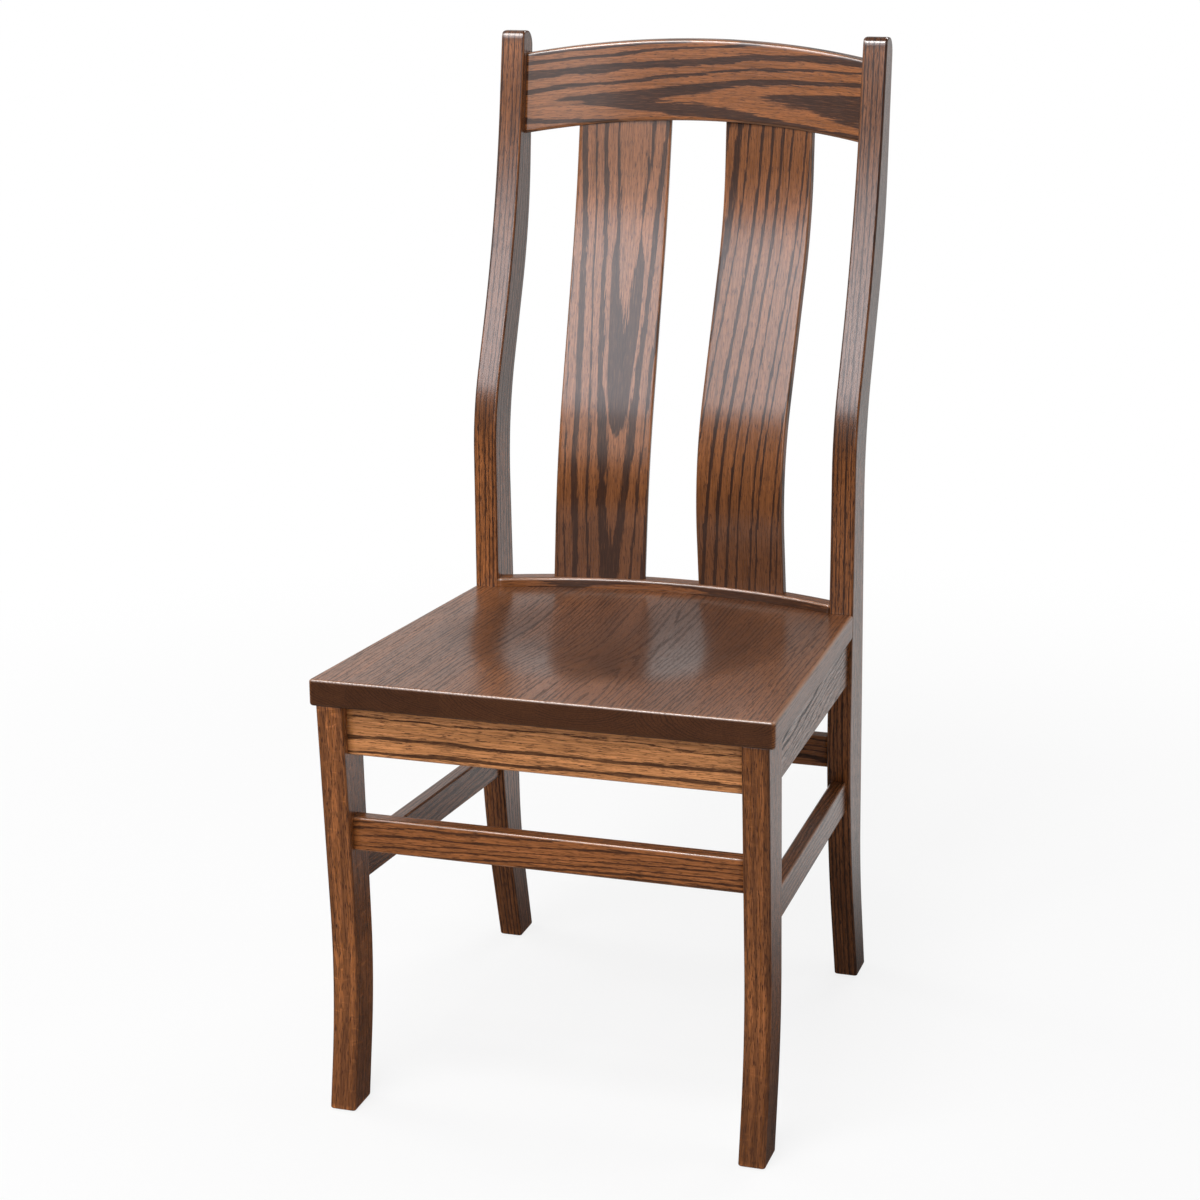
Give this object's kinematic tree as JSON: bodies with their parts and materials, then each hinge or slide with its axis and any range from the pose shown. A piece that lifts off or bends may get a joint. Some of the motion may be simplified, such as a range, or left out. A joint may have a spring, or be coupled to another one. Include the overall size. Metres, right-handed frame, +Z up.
{
  "type": "wooden dining chair",
  "caption": "Wooden dining chair with a bowed back of bent slats, swept posts, a hollowed plank seat and stretchers between its legs.",
  "frame": {"origin": "on the floor, under the middle of the chair's outline", "axes": "+Z up, -Y towards the front of the seat, +X to the right of someone who looks at the front"},
  "size_m": [0.4646, 0.5882, 1.033],
  "materials": {
    "stained_oak": "semi-gloss brown stain",
    "screw_steel": "zinc plated"
  },
  "bodies": {
    "root": {"rear_post_left": "stained_oak", "rear_post_right": "stained_oak", "front_leg_left": "stained_oak", "front_leg_right": "stained_oak", "seat": "stained_oak", "crest_rail": "stained_oak", "lower_back_rail": "stained_oak", "back_slat_left": "stained_oak", "back_slat_right": "stained_oak", "front_apron": "stained_oak", "rear_apron": "stained_oak", "side_apron_left": "stained_oak", "side_apron_right": "stained_oak", "front_stretcher": "stained_oak", "rear_stretcher": "stained_oak", "side_stretcher_left": "stained_oak", "side_stretcher_right": "stained_oak", "corner_block_front_left": "stained_oak", "corner_block_front_right": "stained_oak", "corner_block_rear_left": "stained_oak", "corner_block_rear_right": "stained_oak", "corner_block_screws": "screw_steel", "seat_screws": "screw_steel"}
  },
  "joints": []
}
